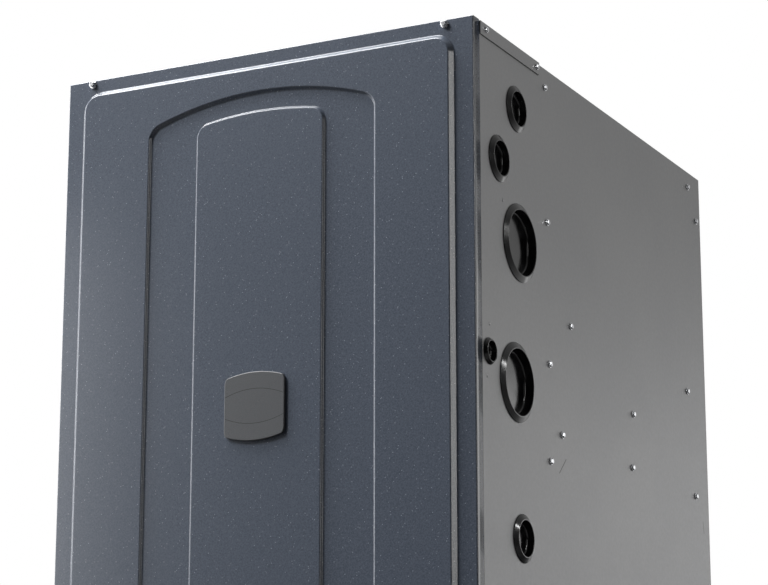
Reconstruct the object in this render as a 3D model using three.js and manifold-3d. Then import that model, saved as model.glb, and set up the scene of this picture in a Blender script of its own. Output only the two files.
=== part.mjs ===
// An upflow condensing gas furnace for ducted warm air, in a 21 inch wide sheet-steel casing.
// Millimetres. x runs across the front, y from the door's face towards the rear, z up from the floor.
import * as THREE from "three";
import { mergeVertices } from "three/addons/utils/BufferGeometryUtils.js";
import Module from "manifold-3d";

const wasm = await Module();
wasm.setup();

// ---------- Driving dimensions ----------
const WIDTH = 533.4;
const DEPTH = 722.9;
const HEIGHT = 863.6;
const SHEET = 1.2; // casing steel
const GAP = 0.3; // clearance between pieces that touch
const SLIVER = 0.004; // edges shorter than this are noise
const FLANGE = 19; // turned-in edges of the casing
const FRONT_RETURN = 22; // turned-in front edge that the door lands on

const DOOR_DEPTH = 16.5;
const DOOR_LIFT = 3; // door's bottom edge above the floor
const FIELD_RISE = 6.5; // pressed field in front of the door's margin
const GROOVE_RISE = 2.7; // floor of the arched groove in front of the margin
const FIELD = { halfWidth: 241.5, margin: 19.6, corner: 21, run: 6.8 };
const ARCH = { halfWidth: 147.4, margin: 49.9, radius: 420, corner: 12, run: 3.7 };
const INNER_ARCH = { halfWidth: 83.2, margin: 73.1, radius: 420, corner: 13, run: 3.9 };

const DOOR_CHANNEL = { halfWidth: 236, height: 40 };
const BADGE = { halfWidth: 38.5, height: 78, thick: 4, drop: 417, radius: 120, corner: 9 };
const DOOR_SCREW = { x: 232.4, drop: 5.5, shank: 1.9, washer: 4.25, length: 24 };

const PLATE_DEPTH = 162.6; // top plate over the burner compartment
const PLATE_SKIRT = 15.2;
const CASING_DROP = 2.7; // side panels end this far below the door's top
const VEST = 206; // partition behind the burners
const VEST_FLANGE = 16;
const DECK = 383.6; // shelf between the blower and the heat exchanger
const RETURN_HOLE = { halfWidth: 225, front: 60, rear: 690, collar: 12 };

// Side openings, each closed by a snap-in plug: distance from the door's face, drop from the top.
const PLUGS = {
  pipe_upper: { back: 113.8, drop: 76.6, radius: 27, segments: 14 },
  pipe_lower: { back: 65, drop: 148, radius: 27, segments: 14 },
  vent_upper: { back: 119.4, drop: 232.6, radius: 45, segments: 20 },
  vent_lower: { back: 106.7, drop: 394.2, radius: 45, segments: 20 },
  wiring: { back: 34.3, drop: 372.8, radius: 14.9, segments: 10 },
  drain: { back: 118.9, drop: HEIGHT - DECK + 85.8, radius: 27, segments: 14 },
};
const PLUG = { proud: 4.3, bevel: 6.8, lip: 1, lap: 3.5, recess: 10, floor: 2.3 };

const LINER = 8; // foil-faced insulation

const BURNERS = { count: 4, pitch: 90, z: DECK + 336.4, front: 82, head: 18.2 };
const BURNER_BOX = { halfWidth: 178, front: 78, bottom: BURNERS.z - 45, top: BURNERS.z + 45 };
const TUBE = { radius: 19, bend: 42, rear: 620, front: 280, outlet: 650 };
const COIL = { halfWidth: 172, bottom: DECK + 41.4, front: 232, rear: 650, pitch: 14, groove: 9 };
const COIL_TOP = COIL.bottom + 90;
const REAR_HEADER = { halfWidth: 176, depth: 48, top: COIL_TOP + 63 };
const FRONT_HEADER = { halfWidth: 178, front: 165, bottom: COIL.bottom - 13, top: COIL_TOP + 13 };
const IGNITER = { x: 158, y: 188, radius: 5 };
const SENSOR = { x: -158, y: 188, radius: 3 };
const MANIFOLD = { y: 54, radius: 9, end: 152 };
const GAS_VALVE = { x: 224, halfWidth: 30, front: 34, rear: 98, below: 36, above: 38 };

const PIPE = { outer: 30.15, wall: 3.9, y: 130, top: HEIGHT - 1.2 }; // 2 inch plastic pipe
const INTAKE_X = 100;
const VENT_ROOM = 3.9; // between the burner box and the vent pipe
const INDUCER = { z: DECK + 98.4, front: 95, rear: 164.7, start: 68, end: 104, wall: 3 };
const INDUCER_CUTOFF = Math.PI / 2.6;
const INDUCER_THROAT = 88;
const IMPELLER = { radius: 50, blades: 8 };
const INDUCER_MOTOR = { radius: 40, length: 62 };

// The scroll starts `cutoffGap` outside the wheel and opens by `opening` over its turn.
const BLOWER = { y: 400, wheel: 127, cutoffGap: 15, opening: 48, halfWidth: 140, flange: 14, above: 8.9 };
const BLOWER_CUTOFF = Math.PI / 3;
const INLET_LAP = 21; // the wheel's rim outside the inlet
const BLADES = { count: 24, depth: 19, thick: 1.6, halfLength: 125, ring: 3 };
const MOTOR = { radius: 65, near: 30, far: 134, shaft: 6.2 };

const CONTROL_Y = 100;
const SWITCH = { x: 120, z: DECK - 10, plunger: 3.2 };
const RESET = { x: -110, y: 112, body: 9, button: 3 };
const PRESSURE = { x: 60, z: DECK + 216.4, radius: 38 };
const TRAP = { x: 138, halfWidth: 26, front: 118, bottom: DECK + 8.4, top: DECK + 94.4 };

// ---------- Places worked out from them ----------
const HALF = WIDTH / 2;
const CASE_FRONT = DOOR_DEPTH + GAP;
const SIDE_TOP = HEIGHT - CASING_DROP;
const INSIDE = HALF - SHEET - GAP; // half width that fits between the side panels
const BACK_FACE = DEPTH - SHEET - GAP; // rear face of the back panel
const DOOR_PROUD = FIELD_RISE + BADGE.thick;
const PLATE_REAR = CASE_FRONT + PLATE_DEPTH;
const INDUCER_OUTLET = -(BURNER_BOX.halfWidth + VENT_ROOM + PIPE.outer);
const INDUCER_X = INDUCER_OUTLET + (INDUCER.start * Math.cos(INDUCER_CUTOFF) + INDUCER.end) / 2;
const BASE_TOP = SHEET + GAP + RETURN_HOLE.collar;
const SCROLL_START = BLOWER.wheel + BLOWER.cutoffGap;
const SCROLL_END = SCROLL_START + BLOWER.opening;
const SCROLL_LOWEST = scrollRadius(SCROLL_START, SCROLL_END, BLOWER_CUTOFF, 1.5 * Math.PI);
const BLOWER_Z = BASE_TOP + BLOWER.above + SCROLL_LOWEST;
const INLET = BLOWER.wheel - INLET_LAP;
const burnerX = (i) => (i - (BURNERS.count - 1) / 2) * BURNERS.pitch;

// ---------- Materials ----------
const metal = (color, roughness, metalness = 0.9) =>
  new THREE.MeshStandardMaterial({ color, roughness, metalness });
const matte = (color, roughness) => new THREE.MeshStandardMaterial({ color, roughness, metalness: 0 });
const paintedSteel = metal(0x5a626e, 0.55, 0.3);
const galvanised = metal(0x85868a, 0.45);
const brightSteel = metal(0xc8cacc, 0.3);
const stainless = metal(0xa9a8a4, 0.35);
const darkMetal = metal(0x3b3d40, 0.5, 0.6);
const castAlloy = metal(0x9a9c9e, 0.6, 0.7);
const blackPlastic = matte(0x1c1c1d, 0.35);
const greyPlastic = matte(0x4a4d50, 0.6);
const whitePlastic = matte(0xe4e3de, 0.5);
const foil = metal(0xbfc1c2, 0.5, 0.8);
const boardGreen = matte(0x2d5a3a, 0.6);
const ceramic = matte(0xd9d2c3, 0.8);
const rubber = matte(0x202020, 0.8);

// ---------- Solid helpers ----------
// A closed three.js geometry as a manifold solid; a profile drawn the other way round is turned outwards.
function solid(geometry) {
  const bare = new THREE.BufferGeometry().setAttribute("position", geometry.getAttribute("position"));
  if (geometry.index) bare.setIndex(geometry.index);
  const merged = mergeVertices(bare, 1e-4);
  const vertProperties = merged.attributes.position.array;
  const triVerts = new Uint32Array(merged.index.array);
  const made = new wasm.Manifold(new wasm.Mesh({ numProp: 3, vertProperties, triVerts }));
  if (made.volume() > 0) return made;
  for (let i = 0; i < triVerts.length; i += 3) {
    [triVerts[i + 1], triVerts[i + 2]] = [triVerts[i + 2], triVerts[i + 1]];
  }
  return new wasm.Manifold(new wasm.Mesh({ numProp: 3, vertProperties, triVerts }));
}

// A solid's flat-shaded geometry, without the slivers that cuts leave along its edges.
function geometryOf(made) {
  const mesh = made.asOriginal().simplify(SLIVER).getMesh();
  const positions = new Float32Array(mesh.numVert * 3);
  for (let i = 0; i < mesh.numVert; i++) {
    const from = i * mesh.numProp;
    positions.set(mesh.vertProperties.subarray(from, from + 3), i * 3);
  }
  const indexed = new THREE.BufferGeometry()
    .setAttribute("position", new THREE.BufferAttribute(positions, 3))
    .setIndex(new THREE.BufferAttribute(mesh.triVerts, 1));
  const flat = indexed.toNonIndexed();
  flat.computeVertexNormals();
  return flat;
}

const join = (...parts) => parts.reduce((a, b) => a.add(b));
const cut = (from, ...tools) => tools.reduce((a, b) => a.subtract(b), from);

// A block between two corners.
function blockGeometry([x0, x1], [y0, y1], [z0, z1]) {
  const box = new THREE.BoxGeometry(Math.abs(x1 - x0), Math.abs(y1 - y0), Math.abs(z1 - z0));
  return box.translate((x0 + x1) / 2, (y0 + y1) / 2, (z0 + z1) / 2);
}

const block = (...spans) => solid(blockGeometry(...spans));

// Copies of one geometry at even angles about an axis through `at`.
function spokes(geometry, count, axis, at, start = 0) {
  const about = vector(Number(axis === "x"), Number(axis === "y"), Number(axis === "z"));
  return Array.from({ length: count }, (_, i) => {
    const turn = new THREE.Matrix4().makeRotationAxis(about, start + (i * 2 * Math.PI) / count);
    return solid(geometry.clone().applyMatrix4(turn).translate(...at));
  });
}

// A profile of [radius, distance] pairs turned about an axis through `at`.
function turned(profile, segments, axis, at) {
  const points = profile.map(([r, along]) => new THREE.Vector2(r, along));
  const lathe = new THREE.LatheGeometry(points, segments);
  if (axis === "x") lathe.rotateZ(-Math.PI / 2);
  if (axis === "z") lathe.rotateX(Math.PI / 2);
  return solid(lathe.translate(...at));
}

// A plain disc or rod from `from` to `to` along an axis.
const rod = (radius, from, to, segments, axis, at) =>
  turned([[0, from], [radius, from], [radius, to], [0, to]], segments, axis, at);

const tubeWall = (outer, inner, from, to, segments, axis, at) =>
  turned([[inner, from], [outer, from], [outer, to], [inner, to], [inner, from]], segments, axis, at);

// A shape drawn in the x-z plane, pushed from y0 to y1.
function pushedBack(shape, y0, y1) {
  const made = new THREE.ExtrudeGeometry(shape, { depth: y1 - y0, bevelEnabled: false });
  return solid(made.rotateX(Math.PI / 2).translate(0, y1, 0));
}

// A shape drawn in the y-z plane, pushed from x0 to x1.
function acrossGeometry(shape, x0, x1) {
  const made = new THREE.ExtrudeGeometry(shape, { depth: x1 - x0, bevelEnabled: false });
  return made.rotateX(Math.PI / 2).rotateZ(Math.PI / 2).translate(x0, 0, 0);
}

const pushedAcross = (shape, x0, x1) => solid(acrossGeometry(shape, x0, x1));

// A round hose or pipe along a curve; with an inner radius it is a tube.
function along(curve, radius, sides, steps, inner = 0) {
  const ring = (r) => new THREE.Path().absarc(0, 0, r, 0, 2 * Math.PI).getPoints(sides / 2).slice(1);
  const shape = new THREE.Shape(ring(radius));
  if (inner) shape.holes.push(new THREE.Path(ring(inner).reverse()));
  return solid(new THREE.ExtrudeGeometry(shape, { steps, extrudePath: curve, bevelEnabled: false }));
}

const vector = (x, y, z) => new THREE.Vector3(x, y, z);

// A sloping wall between two outlines of equal point count, both in x-z, at depths y0 and y1.
function loft(outline0, y0, outline1, y1) {
  const count = outline0.length;
  const faces = THREE.ShapeUtils.triangulateShape(outline0, []);
  const positions = [...outline0.map((p) => [p.x, y0, p.y]), ...outline1.map((p) => [p.x, y1, p.y])];
  const index = [];
  for (const [a, b, c] of faces) index.push(a, b, c, c + count, b + count, a + count);
  for (let i = 0; i < count; i++) {
    const next = (i + 1) % count;
    index.push(i, i + count, next, next, i + count, next + count);
  }
  const made = new THREE.BufferGeometry()
    .setAttribute("position", new THREE.Float32BufferAttribute(positions.flat(), 3))
    .setIndex(index);
  return solid(made);
}

// ---------- The door ----------
// A rectangle with round corners, moved inwards by `inset`.
function fieldOutline(inset) {
  const { halfWidth, margin, corner } = FIELD;
  const w = halfWidth - inset;
  const r = corner - inset;
  const low = DOOR_LIFT + margin + inset;
  const high = HEIGHT - margin - inset;
  const shape = new THREE.Shape();
  shape.moveTo(w, low + r);
  shape.absarc(w - r, high - r, r, 0, Math.PI / 2);
  shape.absarc(-w + r, high - r, r, Math.PI / 2, Math.PI);
  shape.absarc(-w + r, low + r, r, Math.PI, 1.5 * Math.PI);
  shape.absarc(w - r, low + r, r, 1.5 * Math.PI, 2 * Math.PI);
  return trimmed(shape.getPoints(3));
}

// Straight sides under a shallow arch, the same above and below, moved inwards by `inset`.
function archOutline({ halfWidth, margin, radius, corner }, inset) {
  return barrel(halfWidth, DOOR_LIFT + margin, HEIGHT - margin, radius, corner, inset, 6);
}

function barrel(halfWidth, low, high, radius, corner, inset, divisions) {
  const w = halfWidth - inset;
  const big = radius - inset;
  const r = corner - inset;
  const rise = Math.sqrt((big - r) ** 2 - (w - r) ** 2);
  const turn = Math.atan2(rise, w - r);
  const upper = high - radius + rise;
  const lower = low + radius - rise;
  const shape = new THREE.Shape();
  shape.moveTo(w, lower);
  shape.absarc(w - r, upper, r, 0, turn);
  shape.absarc(0, high - radius, big, turn, Math.PI - turn);
  shape.absarc(-w + r, upper, r, Math.PI - turn, Math.PI);
  shape.absarc(-w + r, lower, r, Math.PI, Math.PI + turn);
  shape.absarc(0, low + radius, big, Math.PI + turn, 2 * Math.PI - turn);
  shape.absarc(w - r, lower, r, 2 * Math.PI - turn, 2 * Math.PI);
  return trimmed(shape.getPoints(divisions / 2));
}

// Drops points that repeat their neighbour, which arcs that meet leave behind.
function trimmed(points) {
  const far = (p, q) => p.distanceTo(q) > 1e-3;
  return points.filter((p, i) => far(p, points[(i + 1) % points.length]));
}

// The pressed sheet's front surface as a full block, moved back by `shift`.
function doorForm(shift) {
  const rise = (outline, { run }, from, to) =>
    loft(outline(-run / 2), shift - from, outline(run / 2), shift - to);
  const sunk = (shape) => rise((inset) => archOutline(shape, inset), shape, FIELD_RISE + 1e-3, GROOVE_RISE);
  const raised = (shape) => rise((inset) => archOutline(shape, inset), shape, GROOVE_RISE, FIELD_RISE);
  const pan = block([-HALF, HALF], [shift, DOOR_DEPTH + shift], [DOOR_LIFT, HEIGHT]);
  const field = rise(fieldOutline, FIELD, -1e-3, FIELD_RISE);
  return join(cut(join(pan, field), sunk(ARCH)), raised(INNER_ARCH));
}

function frontDoor() {
  const inner = [DOOR_LIFT + SHEET, HEIGHT - SHEET];
  const room = block([-HALF + SHEET, HALF - SHEET], [-FIELD_RISE - 1, DOOR_DEPTH + 1], inner);
  const holes = [-1, 1].map((side) => {
    const at = [side * DOOR_SCREW.x, 0, HEIGHT - DOOR_SCREW.drop];
    return rod(DOOR_SCREW.shank + GAP, -2, 4, 8, "y", at);
  });
  const shell = cut(doorForm(0), doorForm(SHEET).intersect(room), ...holes);
  return join(shell, stiffener().intersect(doorForm(SHEET / 2)));
}

// A channel across the door's inside at the blower deck, which meets the deck's front lip.
function stiffener() {
  const { halfWidth, height } = DOOR_CHANNEL;
  const z = [DECK - height / 2, DECK + height / 2];
  const outer = block([-halfWidth, halfWidth], [-FIELD_RISE, DOOR_DEPTH], z);
  const inside = [z[0] + SHEET, z[1] - SHEET];
  return cut(outer, block([-HALF, HALF], [-FIELD_RISE - 1, DOOR_DEPTH - SHEET], inside));
}

function doorBadge() {
  const { halfWidth, height, thick, drop, radius, corner } = BADGE;
  const low = HEIGHT - drop - height / 2;
  const outline = (inset) => barrel(halfWidth, low, low + height, radius, corner, inset, 4);
  const back = -FIELD_RISE - GAP;
  const edge = back - thick + GAP + 1;
  return join(
    loft(outline(0), back, outline(0), edge),
    loft(outline(0), edge + 1e-3, outline(1), edge - 1),
  );
}

function doorScrew() {
  const { shank, washer, length } = DOOR_SCREW;
  const at = [0, 0, 0];
  const head = rod(3.2, -5.2, -1.2, 6, "y", at);
  return join(head, rod(washer, -1.5, -GAP, 12, "y", at), rod(shank, -GAP, length, 8, "y", at));
}

// ---------- The casing ----------
const plugHole = ({ radius }) => radius - PLUG.lap;

function sidePanel() {
  const wall = [HALF - SHEET, HALF];
  const tucked = BACK_FACE - SHEET - GAP;
  const plate = block(wall, [CASE_FRONT, DEPTH], [0, SIDE_TOP]);
  const lip = (depth) => [HALF - SHEET - depth, HALF];
  const frontEdge = block(lip(FRONT_RETURN), [CASE_FRONT, CASE_FRONT + SHEET], [0, SIDE_TOP]);
  const rearEdge = block(lip(FLANGE), [DEPTH - SHEET, DEPTH], [0, SIDE_TOP]);
  const topEdge = block(lip(FLANGE), [VEST + SHEET + GAP, tucked], [SIDE_TOP - SHEET, SIDE_TOP]);
  const bottomEdge = block(lip(FLANGE), [CASE_FRONT, tucked], [0, SHEET]);
  const holes = Object.values(PLUGS).map((plug) => {
    const at = [HALF, plug.back, HEIGHT - plug.drop];
    return rod(plugHole(plug), -2 * SHEET, SHEET, plug.segments, "x", at);
  });
  return cut(join(plate, frontEdge, rearEdge, topEdge, bottomEdge), ...holes);
}

// A snap-in plug: bevelled collar, sunk floor, and a neck that fits the hole. Its axis is x.
function holePlug(plug) {
  const { proud, bevel, lip, recess, floor } = PLUG;
  const rim = plug.radius - bevel * Math.min(1, plug.radius / 20);
  const neck = plugHole(plug) - GAP;
  const bottom = proud - recess;
  const profile = [
    [0, bottom],
    [rim - 0.8, bottom],
    [rim, proud],
    [rim + lip, proud],
    [plug.radius, GAP],
    [neck, GAP],
    [neck, bottom - floor],
    [0, bottom - floor],
  ];
  return turned(profile, plug.segments, "x", [0, 0, 0]);
}

function backPanel() {
  const plate = block([-INSIDE, INSIDE], [BACK_FACE - SHEET, BACK_FACE], [0, SIDE_TOP]);
  const width = HALF - SHEET - FLANGE - GAP;
  const top = block([-width, width], [BACK_FACE - FLANGE, BACK_FACE], [SIDE_TOP - SHEET, SIDE_TOP]);
  const bottom = block([-width, width], [BACK_FACE - FLANGE, BACK_FACE], [0, SHEET]);
  return join(plate, top, bottom);
}

// Closes the top over the burner compartment; its skirt laps outside the side panels.
function topPlate() {
  const outside = HALF + GAP + SHEET;
  const low = SIDE_TOP + GAP;
  const high = low + SHEET;
  const y = [CASE_FRONT, PLATE_REAR];
  const sheet = block([-outside, outside], y, [low, high]);
  const skirts = [-1, 1].map((side) =>
    block([side * (HALF + GAP), side * outside], y, [high - PLATE_SKIRT, high]),
  );
  const inner = HALF - SHEET - FRONT_RETURN - GAP;
  const front = block([-inner, inner], [CASE_FRONT, CASE_FRONT + SHEET], [high - 26, high]);
  const rear = block([-INSIDE, INSIDE], [PLATE_REAR - SHEET, PLATE_REAR], [high - 24, high]);
  const pipeHoles = [INDUCER_OUTLET, INTAKE_X].map((x) =>
    rod(PIPE.outer + GAP * 3, low - 2, high + 2, 16, "z", [x, PIPE.y, 0]),
  );
  const screwHoles = [-1, 1].map((side) => {
    const at = [side * DOOR_SCREW.x, CASE_FRONT, HEIGHT - DOOR_SCREW.drop];
    return rod(DOOR_SCREW.shank + GAP, -1, SHEET + 1, 8, "y", at);
  });
  return cut(join(sheet, ...skirts, front, rear), ...pipeHoles, ...screwHoles);
}

// The base, with the return-air opening and a rail across the front.
function baseFrame() {
  const { halfWidth, front, rear } = RETURN_HOLE;
  const z0 = SHEET + GAP;
  const inner = HALF - SHEET - FRONT_RETURN - GAP;
  const behind = CASE_FRONT + SHEET + GAP;
  const rearEdge = BACK_FACE - SHEET - GAP;
  const sheet = block([-INSIDE, INSIDE], [behind, rearEdge], [z0, z0 + SHEET]);
  const rail = block([-inner, inner], [CASE_FRONT, CASE_FRONT + SHEET], [z0, z0 + 26]);
  const link = block([-inner, inner], [CASE_FRONT, behind + 1], [z0, z0 + SHEET]);
  const rimWidth = halfWidth + SHEET;
  const rim = block([-rimWidth, rimWidth], [front - SHEET, rear + SHEET], [z0, BASE_TOP]);
  const opening = block([-halfWidth, halfWidth], [front, rear], [-1, BASE_TOP + 1]);
  return cut(join(sheet, rail, link, rim), opening);
}

// The shelf that carries the blower, with its outlet opening.
function blowerDeck() {
  const inner = HALF - SHEET - FRONT_RETURN - GAP;
  const behind = CASE_FRONT + SHEET + GAP;
  const rearEdge = BACK_FACE - SHEET - GAP;
  const sheet = block([-INSIDE, INSIDE], [behind, rearEdge], [DECK, DECK + SHEET]);
  const nose = block([-inner, inner], [CASE_FRONT, behind + 1], [DECK, DECK + SHEET]);
  const lip = block([-inner, inner], [CASE_FRONT, CASE_FRONT + SHEET], [DECK - 20, DECK + SHEET]);
  const hems = [-1, 1].map((side) =>
    block([side * (INSIDE - SHEET), side * INSIDE], [behind, rearEdge], [DECK - 14, DECK + SHEET]),
  );
  const outlet = block([-BLOWER.halfWidth + 2, BLOWER.halfWidth - 2], outletSpan(2), [DECK - 1, DECK + 3]);
  const plungerHole = rod(SWITCH.plunger + GAP, -1, 3, 8, "y", [SWITCH.x, CASE_FRONT, SWITCH.z]);
  return cut(join(sheet, nose, lip, ...hems), outlet, plungerHole);
}

// The partition that carries the burners, with holes for the flames and a window for the coil.
function vestPanel() {
  const z = [DECK + SHEET + GAP, SIDE_TOP - GAP];
  const sheet = block([-INSIDE, INSIDE], [VEST, VEST + SHEET], z);
  const sides = [-1, 1].map((side) =>
    block([side * (INSIDE - SHEET), side * INSIDE], [VEST - VEST_FLANGE, VEST + SHEET], z),
  );
  const top = block([-INSIDE, INSIDE], [PLATE_REAR + GAP, VEST + SHEET], [z[1] - SHEET, z[1]]);
  const bottom = block([-INSIDE, INSIDE], [VEST - 12, VEST + SHEET], [z[0], z[0] + SHEET]);
  const ports = burnerPlaces((x) => rod(BURNERS.head + 2, -2, 4, 12, "y", [x, VEST, BURNERS.z]));
  const windowWidth = COIL.halfWidth + 1;
  const window = block([-windowWidth, windowWidth], [VEST - 2, VEST + 4], [COIL.bottom - 1, COIL_TOP + 1]);
  return cut(join(sheet, ...sides, top, bottom), ...ports, window);
}

const burnerPlaces = (make) => Array.from({ length: BURNERS.count }, (_, i) => make(burnerX(i)));

function insulation() {
  const outer = INSIDE;
  const y = [VEST + SHEET + GAP, BACK_FACE - SHEET - GAP];
  const z = [DECK + SHEET + GAP, SIDE_TOP - SHEET - GAP];
  return cut(
    block([-outer, outer], y, z),
    block([-outer + LINER, outer - LINER], [y[0] - 1, y[1] - LINER], [z[0] - 1, z[1] + 1]),
  );
}

// ---------- Burners and gas ----------
function burnerBox() {
  const { halfWidth, front, bottom, top } = BURNER_BOX;
  const rear = VEST - GAP;
  const inner = halfWidth - SHEET;
  const shell = cut(
    block([-halfWidth, halfWidth], [front, rear], [bottom, top]),
    block([-inner, inner], [front - 1, rear - SHEET], [bottom + SHEET, top - SHEET]),
  );
  const ports = burnerPlaces((x) => rod(BURNERS.head + GAP, -4, 4, 12, "y", [x, rear, BURNERS.z]));
  const airHole = rod(PIPE.outer - PIPE.wall, -4, 4, 16, "z", [INTAKE_X, PIPE.y, top]);
  const rodHole = ({ x, y, radius }) => rod(radius + GAP, -4, 4, 10, "z", [x, y, bottom]);
  return cut(shell, ...ports, airHole, rodHole(IGNITER), rodHole(SENSOR));
}

// An in-shot burner: bell mouth, throat and flared head.
function burner(x) {
  const profile = [[0, 6], [5, 6], [18, 0], [12, 16], [11, 34], [15, 96], [BURNERS.head, 108]];
  const length = VEST - GAP - BURNERS.front;
  return turned([...profile, [BURNERS.head, length], [0, length]], 12, "y", [x, BURNERS.front, BURNERS.z]);
}

// The gas rail with its spuds, and two ears that are screwed to the burner box.
function gasManifold() {
  const { y, radius, end } = MANIFOLD;
  const z = BURNERS.z;
  const pipe = rod(radius, -end, GAS_VALVE.x - GAS_VALVE.halfWidth - GAP, 10, "x", [0, y, z]);
  const spuds = burnerPlaces((x) => rod(4, 0, BURNERS.front - 2 - y, 6, "y", [x, y, z]));
  const ears = [-90, 90].map((x) => {
    const stem = block([x - 6, x + 6], [y, BURNER_BOX.front - GAP], [z - 6, z + 6]);
    const tab = [z + 5, BURNER_BOX.top];
    return join(stem, block([x - 12, x + 12], [BURNER_BOX.front - GAP - 2, BURNER_BOX.front - GAP], tab));
  });
  return join(pipe, ...spuds, ...ears);
}

// The combination gas valve: cast body, regulator tower, coil cover, inlet boss and pressure taps.
function gasValve() {
  const { x, halfWidth, front, rear, below, above } = GAS_VALVE;
  const bottom = BURNERS.z - below;
  const top = BURNERS.z + above;
  const body = block([x - halfWidth, x + halfWidth], [front + 12, rear], [bottom + 14, top - 14]);
  const coil = block([x - 24, x + 24], [front + 20, rear - 6], [top - 16, top]);
  const inletBoss = rod(15, bottom, bottom + 16, 8, "z", [x, (front + rear) / 2 + 6, 0]);
  const tower = rod(11, front, front + 14, 12, "y", [x - 13, 0, BURNERS.z - 8]);
  const knobSeat = rod(12, front + 4, front + 14, 12, "y", [x + 13, 0, BURNERS.z + 8]);
  return join(body, coil, inletBoss, tower, knobSeat);
}

function gasValveKnob() {
  const { x, front } = GAS_VALVE;
  const at = [x + 13, front, BURNERS.z + 8];
  const disc = rod(10, -2, 4 - GAP, 12, "y", at);
  return join(disc, block([at[0] - 2, at[0] + 2], [front - 8, front - 1], [at[2] - 9, at[2] + 9]));
}

function igniter() {
  const { x, y, radius } = IGNITER;
  const { bottom } = BURNER_BOX;
  const base = rod(radius + 4, bottom - 14, bottom - GAP, 10, "z", [x, y, 0]);
  const stem = rod(radius, bottom - 8, bottom + 16, 10, "z", [x, y, 0]);
  return join(base, stem, block([x - 4, x + 4], [y - 1, y + 1], [bottom + 12, BURNERS.z - 2]));
}

function flameSensor() {
  const { x, y, radius } = SENSOR;
  const { bottom } = BURNER_BOX;
  const at = [x, y, 0];
  const base = rod(radius + 4, bottom - 12, bottom - GAP, 8, "z", at);
  const stem = rod(radius, bottom - 8, bottom + 12, 8, "z", at);
  return join(base, stem, rod(1.6, bottom, BURNERS.z, 6, "z", at));
}

function rolloutSwitch() {
  const { x, y, body, button } = RESET;
  const base = BURNER_BOX.top + GAP;
  const case_ = rod(body, 0, 10, 12, "z", [x, y, base]);
  const foot = block([x - 16, x + 16], [y - 6, y + 6], [base, base + 1.5]);
  return cut(join(case_, foot), rod(button + GAP, 4, 11, 8, "z", [x, y, base]));
}

const resetButton = () => rod(RESET.button, 6.5, 14, 8, "z", [RESET.x, RESET.y, BURNER_BOX.top + GAP]);

// ---------- Heat exchanger ----------
// One primary tube: three passes joined by two return bends, slipped together at the joints.
function primaryTube(x) {
  const { radius, bend, rear, front, outlet } = TUBE;
  const levels = [0, 1, 2].map((i) => BURNERS.z - 2 * bend * i);
  const run = (y0, y1, z) => rod(radius, y0, y1, 8, "y", [x, 0, z]);
  const turnAt = (y, z, outward) => {
    const lead = 3;
    const curve = new THREE.CurvePath();
    const at = (back, dz) => vector(x, back, z + dz);
    const inside = y - outward * lead;
    const reach = y + outward * bend * 1.32;
    curve.add(new THREE.LineCurve3(at(inside, bend), at(y, bend)));
    curve.add(new THREE.CubicBezierCurve3(at(y, bend), at(reach, bend), at(reach, -bend), at(y, -bend)));
    curve.add(new THREE.LineCurve3(at(y, -bend), at(inside, -bend)));
    return along(curve, radius - 0.5, 8, 6);
  };
  return join(
    run(VEST + SHEET + GAP, rear, levels[0]),
    turnAt(rear, levels[0] - bend, 1),
    run(front, rear, levels[1]),
    turnAt(front, levels[1] - bend, -1),
    run(front, outlet, levels[2]),
  );
}

// The finned secondary coil: a pack of fins drawn as grooves across its top and bottom faces.
function secondaryCoil() {
  const { halfWidth, bottom, front, rear, pitch, groove } = COIL;
  const top = COIL_TOP;
  const pack = block([-halfWidth, halfWidth], [front, rear], [bottom, top]);
  const neck = block([-halfWidth + 4, halfWidth - 4], [VEST - GAP, front + 1], [bottom + 4, top - 4]);
  const slots = [];
  for (let y = front + pitch; y < rear - pitch / 2; y += 2 * pitch) {
    const gap = [y, y + pitch];
    slots.push(block([-halfWidth - 1, halfWidth + 1], gap, [top - groove, top + 1]));
    slots.push(block([-halfWidth - 1, halfWidth + 1], gap, [bottom - 1, bottom + groove]));
  }
  return cut(join(pack, neck), ...slots);
}

// Turns the flue gas from the primary tubes down into the coil.
function rearHeader() {
  const { halfWidth, depth, top } = REAR_HEADER;
  const y = COIL.rear + GAP;
  const shape = new THREE.Shape();
  shape.moveTo(y, COIL.bottom);
  shape.lineTo(y + depth - 16, COIL.bottom);
  shape.lineTo(y + depth, COIL.bottom + 16);
  shape.lineTo(y + depth, top - 22);
  shape.lineTo(y + depth - 22, top);
  shape.lineTo(y, top);
  return pushedAcross(shape, -halfWidth, halfWidth);
}

// The cold-end header on the partition: a ribbed moulding with the inducer's port and a drain spout.
function frontHeader() {
  const { halfWidth, front, bottom, top } = FRONT_HEADER;
  const rear = VEST - 2 * GAP;
  const body = block([-halfWidth, halfWidth], [front + 8, rear], [bottom, top]);
  const ribs = [-60, 0, 60, 120].map((x) =>
    block([x - 2, x + 2], [front + 2, front + 9], [bottom + 6, top - 6]),
  );
  const port = rod(34, INDUCER.rear + GAP, front + 9, 16, "y", [INDUCER_X, 0, INDUCER.z]);
  const bore = rod(28, INDUCER.rear - 1, front + 20, 16, "y", [INDUCER_X, 0, INDUCER.z]);
  return cut(join(body, ...ribs, port), bore);
}

function condensateTrap() {
  const { x, halfWidth, front, bottom, top } = TRAP;
  const rear = FRONT_HEADER.front + 2 - GAP;
  const cup = block([x - halfWidth, x + halfWidth], [front, rear], [bottom + 18, top]);
  const sump = block([x - halfWidth + 6, x + halfWidth - 6], [front + 6, rear - 6], [bottom, bottom + 20]);
  const spouts = [-12, 12].map((dx) => rod(6, top - 2, top + 14, 8, "z", [x + dx, (front + rear) / 2, 0]));
  const drain = rod(7, x + halfWidth - 2, x + halfWidth + 22, 8, "x", [0, (front + rear) / 2, bottom + 32]);
  return join(cup, sump, ...spouts, drain);
}

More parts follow.
